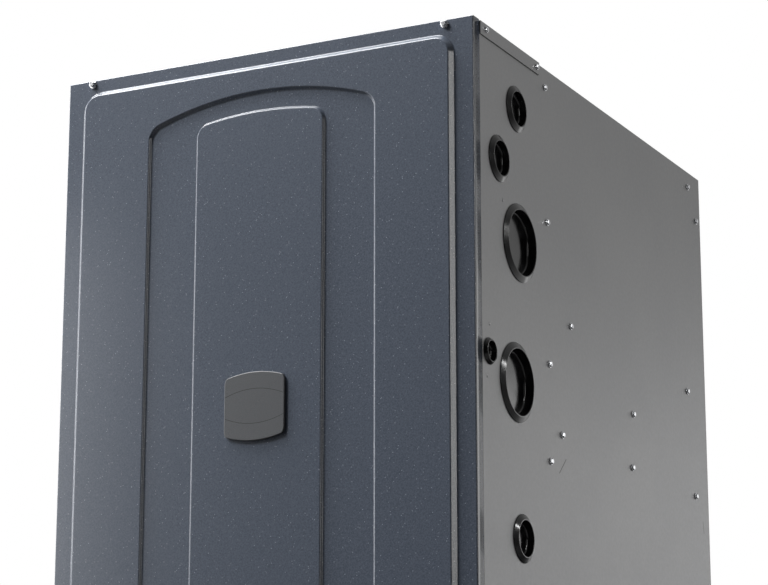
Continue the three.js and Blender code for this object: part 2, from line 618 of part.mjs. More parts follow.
// ---------- Draft inducer and vent ----------
// A spiral casing's radius: it opens evenly from the cut-off to the end of the turn.
function scrollRadius(start, end, cutoff, turn) {
  return start + ((end - start) * (turn - cutoff)) / (2 * Math.PI - cutoff);
}

// The outline of a spiral casing, which leaves along a straight throat.
function scrollOutline(start, end, cutoff, throat, offset, steps) {
  const from = Math.acos((start * Math.cos(cutoff) - offset) / (start + offset));
  const shape = [];
  for (let i = 0; i <= steps; i++) {
    const turn = from + ((2 * Math.PI - from) * i) / steps;
    const r = scrollRadius(start, end, cutoff, turn) + offset;
    shape.push(new THREE.Vector2(r * Math.cos(turn), r * Math.sin(turn)));
  }
  shape.push(new THREE.Vector2(end + offset, throat), new THREE.Vector2(shape[0].x, throat));
  return shape;
}

// Mirrored so that the throat rises on the left, where the vent pipe stands.
function inducerHousing() {
  const { z, front, rear, start, end, wall } = INDUCER;
  const outline = (offset, throat) => {
    const points = scrollOutline(start, end, INDUCER_CUTOFF, throat, offset, 14);
    return new THREE.Shape(points.map((p) => new THREE.Vector2(INDUCER_X - p.x, z + p.y)).reverse());
  };
  const shell = pushedBack(outline(wall, INDUCER_THROAT), front, rear);
  const room = pushedBack(outline(0, INDUCER_THROAT - wall), front + wall, rear - wall);
  const at = [INDUCER_OUTLET, PIPE.y, 0];
  const base = z + INDUCER_THROAT;
  const collar = rod(PIPE.outer + 4, base - 1, base + 24, 16, "z", at);
  const socket = rod(PIPE.outer + GAP, base + 4, base + 25, 16, "z", at);
  const throat = rod(PIPE.outer - PIPE.wall, base - wall - 2, base + 5, 16, "z", at);
  const inlet = rod(28, rear - wall - 1, rear + 1, 12, "y", [INDUCER_X, 0, z]);
  const shaftHole = rod(8, front - 1, front + wall + 1, 12, "y", [INDUCER_X, 0, z]);
  const barb = rod(3.5, front - 13, front + 1, 8, "y", pressureTap());
  return cut(join(cut(join(shell, collar), room), barb), socket, throat, inlet, shaftHole);
}

const pressureTap = () => [INDUCER_X + IMPELLER.radius + 6, 0, INDUCER.z + 30];

function inducerWheel() {
  const { z, front, rear, wall } = INDUCER;
  const { radius, blades: count } = IMPELLER;
  const at = [INDUCER_X, 0, z];
  const near = front + wall + 10;
  const far = rear - wall - 8;
  const plate = rod(radius, near, near + 2, 16, "y", at);
  const shaft = rod(5, front - 20, far - 12, 10, "y", at);
  const hub = rod(11, near - 6, near + 16, 12, "y", at);
  const blade = blockGeometry([10, radius - 1], [near + 1, far], [-0.8, 0.8]);
  return join(plate, hub, shaft, ...spokes(blade, count, "y", at));
}

function inducerMotor() {
  const { z, front } = INDUCER;
  const { radius, length } = INDUCER_MOTOR;
  const nose = front - GAP;
  const profile = [
    [0, nose - length],
    [radius - 12, nose - length],
    [radius, nose - length + 8],
    [radius, nose - 12],
    [radius - 10, nose - 8],
    [16, nose],
    [0, nose],
  ];
  const at = [INDUCER_X, 0, z];
  const leg = blockGeometry([radius - 14, radius + 12], [nose - 16, nose], [-5, 5]);
  const bore = rod(5 + GAP, nose - 22, nose + 1, 10, "y", at);
  return cut(join(turned(profile, 20, "y", at), ...spokes(leg, 3, "y", at)), bore);
}

function pipeStub(x, bottom, top) {
  return tubeWall(PIPE.outer, PIPE.outer - PIPE.wall, bottom, top, 16, "z", [x, PIPE.y, 0]);
}

const ventPipe = () => pipeStub(INDUCER_OUTLET, INDUCER.z + INDUCER_THROAT + 4 + GAP, PIPE.top);
const intakePipe = () => pipeStub(INTAKE_X, BURNER_BOX.top + GAP, PIPE.top);

function pressureSwitch() {
  const { x, z, radius } = PRESSURE;
  const rear = VEST - GAP;
  const profile = [
    [0, rear - 30],
    [12, rear - 30],
    [14, rear - 22],
    [radius, rear - 18],
    [radius, rear - 8],
    [radius - 12, rear],
    [0, rear],
  ];
  return join(turned(profile, 16, "y", [x, 0, z]), rod(3.5, rear - 44, rear - 28, 8, "y", [x, 0, z]));
}

// The rubber tube between the pressure switch and the inducer.
function pressureHose() {
  const from = vector(PRESSURE.x, VEST - GAP - 44 - GAP, PRESSURE.z);
  const to = vector(...pressureTap()).setY(INDUCER.front - 13 - GAP);
  const route = new THREE.CatmullRomCurve3([
    from,
    vector(from.x, from.y - 14, from.z),
    vector(from.x - 18, from.y - 50, from.z - 14),
    vector(from.x - 60, from.y - 84, from.z - 44),
    vector(to.x + 30, to.y - 26, to.z + 14),
    vector(to.x, to.y - 16, to.z),
    to,
  ]);
  return along(route, 4, 6, 16);
}

// ---------- Blower ----------
// Front and rear of the blower's outlet, drawn in by `inset`.
function outletSpan(inset) {
  const near = SCROLL_START * Math.cos(BLOWER_CUTOFF);
  return [BLOWER.y + near + inset, BLOWER.y + SCROLL_END - inset];
}

function blowerHousing() {
  const { y, halfWidth } = BLOWER;
  const mouth = DECK - GAP;
  const throat = mouth - BLOWER_Z;
  const outline = (offset, height) => {
    const points = scrollOutline(SCROLL_START, SCROLL_END, BLOWER_CUTOFF, height, offset, 18);
    return new THREE.Shape(points.map((p) => new THREE.Vector2(y + p.x, BLOWER_Z + p.y)));
  };
  const shell = pushedAcross(outline(SHEET, throat), -halfWidth - SHEET, halfWidth + SHEET);
  const room = pushedAcross(outline(0, throat + 2), -halfWidth, halfWidth);
  const [near, far] = outletSpan(-BLOWER.flange);
  const rimWidth = halfWidth + BLOWER.flange;
  const rim = block([-rimWidth, rimWidth], [near, far], [mouth - SHEET, mouth]);
  const at = [0, y, BLOWER_Z];
  const eyes = rod(INLET, -halfWidth - 8, halfWidth + 8, 20, "x", at);
  const rings = [-1, 1].map((side) => {
    const span = side > 0 ? [halfWidth - 8, halfWidth + SHEET] : [-halfWidth - SHEET, -halfWidth + 8];
    return tubeWall(INLET + 4, INLET, ...span, 20, "x", at);
  });
  return join(cut(join(shell, rim), room, eyes), ...rings);
}

// A double-inlet wheel: forward-curved blades between two end rings, carried by a centre plate and hub.
function blowerWheel() {
  const { y, wheel } = BLOWER;
  const { count, depth, thick, halfLength, ring } = BLADES;
  const at = [0, y, BLOWER_Z];
  const inner = wheel - depth;
  const middle = wheel - depth / 2;
  const curve = new THREE.Shape();
  curve.moveTo(inner, 0);
  curve.lineTo(middle + thick / 2, 2.6);
  curve.lineTo(wheel - 1, 10);
  curve.lineTo(middle - thick / 2, 2.6 + thick);
  const blades = spokes(acrossGeometry(curve, 1 - halfLength, halfLength - 1), count, "x", at);
  const rings = [-1, 1].map((side) => {
    const far = side * halfLength;
    const span = [Math.min(far, far - side * ring), Math.max(far, far - side * ring)];
    return tubeWall(wheel, inner - 1, ...span, count, "x", at);
  });
  const plate = rod(wheel - 0.5, -1, 1, count, "x", at);
  const hub = rod(15, -8, 22, 12, "x", at);
  const shaft = rod(MOTOR.shaft, -14, MOTOR.near + 14, 12, "x", at);
  return join(...blades, ...rings, plate, hub, shaft);
}

function blowerMotor() {
  const { radius, near, far, shaft } = MOTOR;
  const profile = [
    [0, near],
    [20, near],
    [22, near + 5],
    [radius - 6, near + 8],
    [radius, near + 14],
    [radius, far - 10],
    [radius - 8, far],
    [0, far],
  ];
  const at = [0, BLOWER.y, BLOWER_Z];
  return cut(turned(profile, 20, "x", at), rod(shaft + GAP, near - 1, near + 16, 12, "x", at));
}

// The belly band and three arms that hang the motor on the housing's side.
function motorMount() {
  const at = [0, BLOWER.y, BLOWER_Z];
  const face = BLOWER.halfWidth + SHEET + GAP;
  const inner = MOTOR.radius + GAP;
  const band = tubeWall(inner + 3, inner, MOTOR.far - 34, face + 3, 20, "x", at);
  const arm = blockGeometry([face, face + 3], [-9, 9], [inner + 1, INLET + 22]);
  return join(band, ...spokes(arm, 3, "x", at, Math.PI / 2));
}

// ---------- Controls ----------
function controlPanel() {
  const top = DECK - GAP;
  const plate = block([-245, 25], [CONTROL_Y, CONTROL_Y + SHEET], [175, top]);
  const hanger = block([-245, 25], [CONTROL_Y, CONTROL_Y + 20], [top - SHEET, top]);
  const hem = block([-245, 25], [CONTROL_Y, CONTROL_Y + 10], [175, 175 + SHEET]);
  return join(plate, hanger, hem);
}

// The circuit board on its posts, with its relays, capacitors and terminal strip.
function controlBoard() {
  const back = CONTROL_Y - GAP;
  const face = back - 12;
  const board = block([-235, -85], [face, face + 2], [195, 355]);
  const posts = [[-229, 201], [-91, 201], [-229, 349], [-91, 349]].map(([x, z]) =>
    rod(3, face + 1, back, 6, "y", [x, 0, z]),
  );
  const relays = [300, 325].map((z) => block([-225, -200], [face - 16, face + 1], [z, z + 20]));
  const strip = block([-170, -95], [face - 10, face + 1], [338, 350]);
  const chip = block([-170, -140], [face - 3, face + 1], [260, 290]);
  const capacitors = [-210, -185].map((x) => rod(9, face - 22, face + 1, 10, "y", [x, 0, 225]));
  return join(board, ...posts, ...relays, strip, chip, ...capacitors);
}

function transformer() {
  const back = CONTROL_Y - GAP;
  const core = block([-60, 10], [back - 34, back], [285, 345]);
  const coil = block([-48, -2], [back - 42, back - 2], [296, 334]);
  const foot = block([-70, 20], [back - 2, back], [300, 330]);
  return join(core, coil, foot);
}

function doorSwitch() {
  const { x, z, plunger } = SWITCH;
  const front = CASE_FRONT + SHEET + GAP;
  const body = block([x - 12, x + 12], [front, front + 28], [z - 9, z + 9]);
  return cut(body, rod(plunger + GAP, front - 1, front + 16, 8, "y", [x, 0, z]));
}

function switchPlunger() {
  const { x, z, plunger } = SWITCH;
  return rod(plunger, CASE_FRONT, CASE_FRONT + 12, 8, "y", [x, 0, z]);
}

// ---------- Assembly ----------
const furnace = new THREE.Group();
furnace.position.y = -(DEPTH - DOOR_PROUD) / 2; // centred on its overall depth

function add(name, made, material, parent = furnace) {
  const mesh = new THREE.Mesh(geometryOf(made), material);
  mesh.name = name;
  parent.add(mesh);
  return mesh;
}

// Each side is built as the right one; the left is its mirror image.
for (const side of ["right", "left"]) {
  const group = new THREE.Group();
  if (side === "left") group.scale.x = -1;
  furnace.add(group);
  add(`side_panel_${side}`, sidePanel(), galvanised, group);
  for (const [name, plug] of Object.entries(PLUGS)) {
    const mesh = add(`${name}_plug_${side}`, holePlug(plug), blackPlastic, group);
    mesh.position.set(HALF, plug.back, HEIGHT - plug.drop);
  }
  const screw = add(`door_screw_${side}`, doorScrew(), brightSteel, group);
  screw.position.set(DOOR_SCREW.x, 0, HEIGHT - DOOR_SCREW.drop);
}

add("back_panel", backPanel(), galvanised);
add("top_front_plate", topPlate(), galvanised);
add("base_frame", baseFrame(), galvanised);
add("blower_deck", blowerDeck(), galvanised);
add("vest_panel", vestPanel(), galvanised);
add("insulation_liner", insulation(), foil);

add("front_door", frontDoor(), paintedSteel);
add("door_badge", doorBadge(), greyPlastic);

add("burner_box", burnerBox(), galvanised);
burnerPlaces((x) => x).forEach((x, i) => {
  add(`burner_${i + 1}`, burner(x), stainless);
  add(`primary_tube_${i + 1}`, primaryTube(x), stainless);
});
add("gas_manifold", gasManifold(), darkMetal);
add("gas_valve", gasValve(), castAlloy);
add("gas_valve_knob", gasValveKnob(), blackPlastic);
add("igniter", igniter(), ceramic);
add("flame_sensor", flameSensor(), ceramic);
add("rollout_switch", rolloutSwitch(), blackPlastic);
add("rollout_reset_button", resetButton(), brightSteel);

add("secondary_coil", secondaryCoil(), stainless);
add("rear_header", rearHeader(), stainless);
add("front_header", frontHeader(), blackPlastic);
add("condensate_trap", condensateTrap(), blackPlastic);

add("inducer_housing", inducerHousing(), blackPlastic);
add("inducer_wheel", inducerWheel(), greyPlastic);
add("inducer_motor", inducerMotor(), darkMetal);
add("vent_pipe", ventPipe(), whitePlastic);
add("intake_pipe", intakePipe(), whitePlastic);
add("pressure_switch", pressureSwitch(), greyPlastic);
add("pressure_hose", pressureHose(), rubber);

add("blower_housing", blowerHousing(), galvanised);
add("blower_wheel", blowerWheel(), galvanised);
add("blower_motor", blowerMotor(), darkMetal);
add("motor_mount", motorMount(), galvanised);

add("control_panel", controlPanel(), galvanised);
add("control_board", controlBoard(), boardGreen);
add("transformer", transformer(), darkMetal);
add("door_switch", doorSwitch(), blackPlastic);
add("door_switch_plunger", switchPlunger(), whitePlastic);

export default furnace;
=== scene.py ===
import math

import bmesh
import bpy
from mathutils import Matrix, Vector


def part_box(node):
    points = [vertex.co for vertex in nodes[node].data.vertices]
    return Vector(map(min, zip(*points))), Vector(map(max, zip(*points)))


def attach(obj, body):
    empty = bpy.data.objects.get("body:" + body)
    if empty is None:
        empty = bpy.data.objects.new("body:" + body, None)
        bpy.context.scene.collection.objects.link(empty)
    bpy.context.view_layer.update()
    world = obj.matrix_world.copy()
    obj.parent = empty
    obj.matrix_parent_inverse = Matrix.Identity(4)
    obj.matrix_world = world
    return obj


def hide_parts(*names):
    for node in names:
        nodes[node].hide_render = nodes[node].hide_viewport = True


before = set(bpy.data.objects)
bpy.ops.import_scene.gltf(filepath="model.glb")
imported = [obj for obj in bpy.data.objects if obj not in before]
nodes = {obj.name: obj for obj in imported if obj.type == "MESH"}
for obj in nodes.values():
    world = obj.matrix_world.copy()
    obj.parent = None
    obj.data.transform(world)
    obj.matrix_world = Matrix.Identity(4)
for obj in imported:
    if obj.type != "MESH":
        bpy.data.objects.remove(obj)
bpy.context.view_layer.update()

# ---------- Camera, light and floor ----------
# The furnace is seen from low on its right, so that it stands tall. Lamps at the front left, overhead and on
# the left light it and draw the white lines on the door's pressed edges. Cards that show only in glossy
# surfaces give the lines on the right. The floor is pale and fades into the white room.
scene = bpy.context.scene
scene.view_settings.view_transform = "Standard"

lens = bpy.data.cameras.new("camera")
lens.sensor_width = 36.0
lens.lens = 113.53
lens.clip_end = 60.0
camera = bpy.data.objects.new("camera", lens)
camera.location = (1.3304, -2.6464, -0.0623)
camera.rotation_euler = (math.radians(90 + 13.605), 0.0, math.radians(27.133))
scene.collection.objects.link(camera)
scene.camera = camera


def lamp(name, place, target, width, height, power, gloss_only=False):
    """A soft rectangular lamp that faces a target."""
    data = bpy.data.lights.new(name, "AREA")
    data.shape = "RECTANGLE"
    data.size = width
    data.size_y = height
    data.energy = power
    made = bpy.data.objects.new(name, data)
    made.location = place
    made.rotation_euler = (Vector(target) - Vector(place)).to_track_quat("-Z", "Y").to_euler()
    made.visible_diffuse = not gloss_only
    scene.collection.objects.link(made)


lamp("key_lamp", (-2.2, -2.6, 3.4), (0.0, -0.3, 0.45), 1.2, 1.2, 138.0)
lamp("left_card", (-2.5, -2.3, 0.75), (-0.2, -0.36, 0.5), 1.6, 1.5, 26.0, gloss_only=True)
lamp("top_lamp", (-1.7, -0.35, 3.9), (0.0, -0.35, 0.85), 2.4, 3.0, 400.0)
lamp("left_lamp", (-3.2, -0.4, 1.5), (-0.26, -0.35, 0.5), 1.8, 1.8, 80.0)
lamp("right_card", (3.02, -1.15, 1.23), (0.24, -0.36, 0.5), 0.4, 1.6, 15.0, gloss_only=True)
lamp("side_card", (3.05, 0.75, 1.6), (0.27, 0.0, 0.6), 0.3, 0.6, 18.0, gloss_only=True)
lamp("back_lamp", (1.35, 2.9, 0.7), (0.27, 0.0, 0.6), 1.2, 0.9, 3.0)

# In glossy surfaces the room is a pale soft dome, dimmer overhead, with a dark curtain behind the camera, which
# the paint's edges pick up. The camera sees it plain white, and it adds only a little light of its own.
curtain = Vector((0.4, -0.8, -0.45)).normalized()
room_glow = 0.07
world = bpy.data.worlds.new("studio")
world.use_nodes = True
scene.world = world
sky = world.node_tree
sky.nodes.clear()


def backdrop(strength):
    """A white background of a given strength."""
    made = sky.nodes.new("ShaderNodeBackground")
    made.inputs["Color"].default_value = (1.0, 1.0, 1.0, 1.0)
    made.inputs["Strength"].default_value = strength
    return made


def worked_out(kind, a, b):
    """One number of the room's light, made from two."""
    made = sky.nodes.new("ShaderNodeMath")
    made.operation = kind
    sky.links.new(a, made.inputs[0])
    sky.links.new(b, made.inputs[1])
    return made.outputs["Value"]


def eased(value, start, end, start_level, end_level):
    """Eases from one level to another while a value runs from start to end."""
    made = sky.nodes.new("ShaderNodeMapRange")
    made.interpolation_type = "SMOOTHSTEP"
    settings = {"From Min": start, "From Max": end, "To Min": start_level, "To Max": end_level}
    for socket, setting in settings.items():
        made.inputs[socket].default_value = setting
    sky.links.new(value, made.inputs["Value"])
    return made.outputs["Result"]


ray = sky.nodes.new("ShaderNodeLightPath")
way = sky.nodes.new("ShaderNodeTexCoord")
toward = sky.nodes.new("ShaderNodeVectorMath")
toward.operation = "DOT_PRODUCT"
toward.inputs[1].default_value = curtain
sky.links.new(way.outputs["Generated"], toward.inputs[0])
heights = sky.nodes.new("ShaderNodeSeparateXYZ")
sky.links.new(way.outputs["Generated"], heights.inputs[0])
dome = eased(toward.outputs["Value"], 0.6, -0.5, 0.01, 1.0)
ceiling = eased(heights.outputs["Z"], 0.1, 0.36, 0.8, 0.4)
room_light, white_wall = backdrop(room_glow), backdrop(1.0)
walls = worked_out("MULTIPLY", dome, ceiling)
sky.links.new(worked_out("MAXIMUM", ray.outputs["Is Camera Ray"], walls), white_wall.inputs["Strength"])
mirrored = worked_out("ADD", ray.outputs["Is Glossy Ray"], ray.outputs["Is Transmission Ray"])
either = sky.nodes.new("ShaderNodeMixShader")
out = sky.nodes.new("ShaderNodeOutputWorld")
sky.links.new(worked_out("MAXIMUM", ray.outputs["Is Camera Ray"], mirrored), either.inputs[0])
sky.links.new(room_light.outputs[0], either.inputs[1])
sky.links.new(white_wall.outputs[0], either.inputs[2])
sky.links.new(either.outputs[0], out.inputs["Surface"])


class Finish:
    """One material's nodes, with short calls for the few kinds that the finishes use."""

    def __init__(self, name, colour, roughness, metallic=0.0, **sockets):
        self.material = bpy.data.materials.new(name)
        self.material.use_nodes = True
        self.tree = self.material.node_tree
        self.shader = self.tree.nodes["Principled BSDF"]
        self.shader.inputs["Base Color"].default_value = (*colour, 1.0)
        self.shader.inputs["Roughness"].default_value = roughness
        self.shader.inputs["Metallic"].default_value = metallic
        for socket, value in sockets.items():
            self.shader.inputs[socket.replace("_", " ")].default_value = value
        # The patterns are turned, because a flat face that cuts them straight shows their lattice.
        oblique = self.add("ShaderNodeMapping", Vector=self.add("ShaderNodeTexCoord").outputs["Object"])
        oblique.inputs["Rotation"].default_value = (0.4, 0.7, 0.3)
        self.place = oblique.outputs[0]
        self.height = None

    def add(self, kind, **inputs):
        made = self.tree.nodes.new(kind)
        for socket, value in inputs.items():
            self.join(value, made.inputs[socket.replace("_", " ")])
        return made

    def join(self, value, socket):
        if isinstance(value, bpy.types.NodeSocket):
            self.tree.links.new(value, socket)
        else:
            socket.default_value = value

    def noise(self, scale, detail=2.0, roughness=0.5, stretch=None):
        vector = self.place
        if stretch:
            mapping = self.add("ShaderNodeMapping", Vector=vector)
            mapping.inputs["Scale"].default_value = stretch
            vector = mapping.outputs[0]
        made = self.add("ShaderNodeTexNoise", Vector=vector, Scale=scale, Detail=detail, Roughness=roughness)
        return made.outputs["Fac"]

    def speckle(self, scale):
        return self.add("ShaderNodeTexVoronoi", Vector=self.place, Scale=scale)

    def ramp(self, value, *stops):
        made = self.add("ShaderNodeValToRGB", Fac=value)
        points = made.color_ramp.elements
        while len(points) < len(stops):
            points.new(0.5)
        for point, (at, colour) in zip(points, stops):
            point.position = at
            point.color = (*colour, 1.0) if isinstance(colour, tuple) else (colour, colour, colour, 1.0)
        return made.outputs["Color"]

    def mix(self, kind, factor, a, b):
        made = self.add("ShaderNodeMix")
        made.data_type = "RGBA"
        made.blend_type = kind
        self.join(factor, made.inputs["Factor"])
        self.join(a if isinstance(a, bpy.types.NodeSocket) else (*a, 1.0), made.inputs["A"])
        self.join(b if isinstance(b, bpy.types.NodeSocket) else (*b, 1.0), made.inputs["B"])
        return made.outputs["Result"]

    def colour(self, value):
        self.tree.links.new(value, self.shader.inputs["Base Color"])

    def gloss(self, value):
        self.tree.links.new(value, self.shader.inputs["Roughness"])

    def bump(self, value, depth, strength=1.0):
        made = self.add("ShaderNodeBump", Height=value, Distance=depth, Strength=strength)
        if self.height:
            self.tree.links.new(self.height, made.inputs["Normal"])
        self.height = made.outputs["Normal"]
        self.tree.links.new(self.height, self.shader.inputs["Normal"])


def paint(finish, *names):
    """Gives CAD nodes a finish."""
    for name in names:
        slots = nodes[name].data.materials
        slots.clear()
        slots.append(finish.material)


# The floor looks pale to the camera, fainter in glossy surfaces, and throws next to no light back up.
floor_radius = 2.1
floor_in_gloss = 0.15
pale = Finish("pale_floor", (0.82, 0.82, 0.82), 0.7)
reach = pale.add("ShaderNodeVectorMath")
reach.operation = "LENGTH"
pale.join(pale.place, reach.inputs[0])
edge = pale.ramp(reach.outputs["Value"], (0.0, 0.0), (0.62, 0.0), (0.98, 1.0))
clear = pale.add("ShaderNodeBsdfTransparent")
fade = pale.add("ShaderNodeMixShader")
seen = pale.add("ShaderNodeLightPath")
dim = pale.add("ShaderNodeBsdfDiffuse", Color=(0.04, 0.04, 0.043, 1.0))
face = pale.add("ShaderNodeMixShader")
straight = pale.add("ShaderNodeMath")
straight.operation = "ADD"
pale.join(seen.outputs["Is Camera Ray"], straight.inputs[0])
pale.join(seen.outputs["Is Transmission Ray"], straight.inputs[1])
shown = pale.add("ShaderNodeMath")
shown.operation = "MULTIPLY_ADD"
pale.join(seen.outputs["Is Glossy Ray"], shown.inputs[0])
pale.join(floor_in_gloss, shown.inputs[1])
pale.join(straight.outputs["Value"], shown.inputs[2])
pale.join(shown.outputs["Value"], face.inputs[0])
pale.join(dim.outputs[0], face.inputs[1])
pale.join(pale.shader.outputs[0], face.inputs[2])
pale.join(edge, fade.inputs[0])
pale.join(face.outputs[0], fade.inputs[1])
pale.join(clear.outputs[0], fade.inputs[2])
floor_out = pale.tree.nodes["Material Output"]
pale.join(fade.outputs[0], floor_out.inputs["Surface"])

floor_mesh = bpy.data.meshes.new("floor")
bm = bmesh.new()
bmesh.ops.create_circle(bm, cap_ends=True, segments=96, radius=1.0)
bm.to_mesh(floor_mesh)
bm.free()
floor = bpy.data.objects.new("floor", floor_mesh)
floor.scale = (floor_radius, floor_radius, 1.0)
floor_mesh.materials.append(pale.material)
scene.collection.objects.link(floor)


# ---------- Front door ----------
# One sheet of 1.2 mm steel, deep-drawn: a raised field inside a flat margin, an arched groove in it,
# and a raised middle. Its edges are folded back 16 mm. It is painted with a fine-textured powder coat, and two
# screws at its top hold it to the casing.
sharp_edge = math.radians(38)


def piece(name, bm, body, finish, replaced=()):
    """A finished mesh as an object that rides on a body."""
    for edge in bm.edges:
        edge.smooth = edge.calc_face_angle(0.0) < sharp_edge
    mesh = bpy.data.meshes.new(name)
    bm.to_mesh(mesh)
    bm.free()
    mesh.materials.append(finish.material)
    made = bpy.data.objects.new(name, mesh)
    scene.collection.objects.link(made)
    for polygon in mesh.polygons:
        polygon.use_smooth = True
    even = made.modifiers.new("even", "WEIGHTED_NORMAL")
    even.keep_sharp = True
    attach(made, body)
    if replaced:
        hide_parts(*replaced)
    return made


def thicken(made, thickness, offset):
    """Gives a bare surface its sheet's thickness."""
    sheet = made.modifiers.new("sheet", "SOLIDIFY")
    sheet.thickness = thickness
    sheet.offset = offset


def corners_of(geom):
    """The vertices among an operator's results."""
    return [g for g in geom if isinstance(g, bmesh.types.BMVert)]


def drawn(bm, edges, way):
    """Draws edges out along a vector and gives what that makes."""
    made = bmesh.ops.extrude_edge_only(bm, edges=edges)["geom"]
    bmesh.ops.translate(bm, vec=way, verts=corners_of(made))
    return made


def softened(bm, geom, width, segments, affect="EDGES", clamp=False):
    """Rounds edges or corners."""
    bmesh.ops.bevel(
        bm, geom=geom, offset=width, offset_type="OFFSET", segments=segments, profile=0.5, affect=affect,
        material=-1, clamp_overlap=clamp,
    )


def rectangle(half_width, low, high):
    return [(-half_width, low), (half_width, low), (half_width, high), (-half_width, high)]


def flat_face(bm, corners, plane):
    """A face in the door's plane that looks out of the front."""
    made = bm.faces.new([bm.verts.new((x, plane, z)) for x, z in corners])
    made.normal_update()
    if made.normal.y > 0:
        made.normal_flip()
    return made


def round_corners(bm, face, radius, segments):
    """Rounds the four corners of a face, which are its sharpest points."""
    def sharpness(vert):
        a, b = [edge.other_vert(vert).co - vert.co for edge in vert.link_edges]
        return a.angle(b)
    softened(bm, sorted(face.verts, key=sharpness)[:4], radius, segments, "VERTICES", clamp=True)
    bm.faces.ensure_lookup_table()
    return bm.faces[-1]


def arched_face(bm, half_width, inset, radius, corner, plane):
    """A tall face whose top and bottom are shallow arches."""
    low, high = door_low.z + inset, door_high.z - inset
    drop = radius - math.sqrt(radius**2 - half_width**2)
    face = flat_face(bm, rectangle(half_width, low + drop, high - drop), plane)
    face = round_corners(bm, face, corner, 8)
    for edge in [e for e in face.edges if abs(e.verts[0].co.x - e.verts[1].co.x) > half_width]:
        bmesh.ops.subdivide_edges(bm, edges=[edge], cuts=31)
    bm.faces.ensure_lookup_table()
    face = bm.faces[-1]
    for vert in face.verts:
        swell = math.sqrt(radius**2 - vert.co.x**2) - (radius - drop)
        vert.co.z += swell if vert.co.z > (low + high) / 2 else -swell
    return face


door_low, door_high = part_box("front_door")
margin_plane = -0.3562
door_sheet = 0.0012
field_half, field_inset, field_corner, field_rise, field_run = 0.2449, 0.0162, 0.0244, 0.0065, 0.0068
groove_half, groove_inset, groove_arch, groove_corner, groove_run = 0.14925, 0.04805, 0.4219, 0.0139, 0.0037
middle_half, middle_inset, middle_arch, middle_corner, middle_run = 0.08515, 0.07115, 0.42195, 0.015, 0.0039
groove_rise = 0.0027  # the groove's floor above the margin
fold_depth, fold_bend = 0.0165, 0.0016
bend_width = 0.0015  # of a pressed wall's run, taken by the bend at its foot and again at its head
bend_flat = 0.0012  # a flat strip beyond the upper bend


def wall_height(t, bend):
    """The height reached at share t of a pressed wall: it bends up, runs straight and bends flat again."""
    if t < bend:
        return t * t / (2 * bend * (1 - bend))
    if t > 1 - bend:
        return 1 - wall_height(1 - t, bend)
    return (t - bend / 2) / (1 - bend)


def pressed_wall(bm, face, run, rise):
    """Presses a face forwards by `rise` through a sloping wall of width `run`."""
    bend = bend_width / run
    steps = [bend * i / 5 for i in range(6)] + [1 - bend * i / 5 for i in range(5, -1, -1)]
    for near, far in zip(steps, steps[1:]):
        depth = rise * (wall_height(far, bend) - wall_height(near, bend))
        bmesh.ops.inset_region(
            bm, faces=[face], thickness=run * (far - near), depth=depth,
            use_even_offset=True, use_boundary=True,
        )
    bmesh.ops.inset_region(bm, faces=[face], thickness=bend_flat, depth=0.0, use_even_offset=True)


def window(bm, outer_edges, inner_edges):
    """Fills the flat between an outer loop and a loop inside it."""
    bmesh.ops.triangle_fill(
        bm, use_beauty=True, use_dissolve=False, edges=outer_edges + inner_edges, normal=(0.0, -1.0, 0.0),
    )


def opened(bm, face):
    """Takes a face out and gives the edges round its place."""
    edges = list(face.edges)
    bmesh.ops.delete(bm, geom=[face], context="FACES_ONLY")
    return edges


powder = Finish(
    "door_powder_coat", (0.075, 0.092, 0.125), 0.6,
    Specular_IOR_Level=0.1, Coat_Weight=1.0, Coat_Roughness=0.19,
)
grain = powder.noise(620.0, 3.0, 0.6)
mottle = powder.ramp(grain, (0.32, (0.060, 0.076, 0.106)), (0.68, (0.104, 0.124, 0.164)))
# Sparse pale flecks mixed into the coat's colour are painted glints, standing in for the sparkle of its
# textured surface.
glint_cells = powder.speckle(330.0)
glint_spot = powder.ramp(glint_cells.outputs["Distance"], (0.1, 1.0), (0.2, 0.0))
few = powder.ramp(glint_cells.outputs["Color"], (0.62, 0.0), (0.72, 1.0))
painted_glint = powder.mix("MULTIPLY", 1.0, glint_spot, few)
powder.colour(powder.mix("MIX", painted_glint, mottle, (0.34, 0.38, 0.45)))
powder.bump(grain, 0.00008, 0.3)
powder.join(powder.height, powder.shader.inputs["Coat Normal"])

bm = bmesh.new()
rim = flat_face(bm, rectangle(door_high.x, door_low.z, door_high.z), margin_plane)
rim_edges = opened(bm, rim)
field = flat_face(bm, rectangle(field_half, door_low.z + field_inset, door_high.z - field_inset), margin_plane)
field = round_corners(bm, field, field_corner, 10)
window(bm, rim_edges, list(field.edges))
pressed_wall(bm, field, field_run, field_rise)
field_edges = opened(bm, field)
groove = arched_face(bm, groove_half, groove_inset, groove_arch, groove_corner, margin_plane - field_rise)
window(bm, field_edges, list(groove.edges))
pressed_wall(bm, groove, groove_run, groove_rise - field_rise)
groove_edges = opened(bm, groove)
middle = arched_face(bm, middle_half, middle_inset, middle_arch, middle_corner, margin_plane - groove_rise)
window(bm, groove_edges, list(middle.edges))
pressed_wall(bm, middle, middle_run, field_rise - groove_rise)
bmesh.ops.triangulate(bm, faces=[middle])
drawn(bm, rim_edges, (0.0, fold_depth, 0.0))
softened(bm, rim_edges, fold_bend, 4)
bmesh.ops.remove_doubles(bm, verts=bm.verts, dist=1e-6)
bmesh.ops.recalc_face_normals(bm, faces=bm.faces)
if max(bm.faces, key=lambda f: f.calc_area()).normal.y > 0:
    bmesh.ops.reverse_faces(bm, faces=bm.faces)
front_door = piece("front_door_panel", bm, "door", powder, ["front_door"])
thicken(front_door, door_sheet, -1.0)
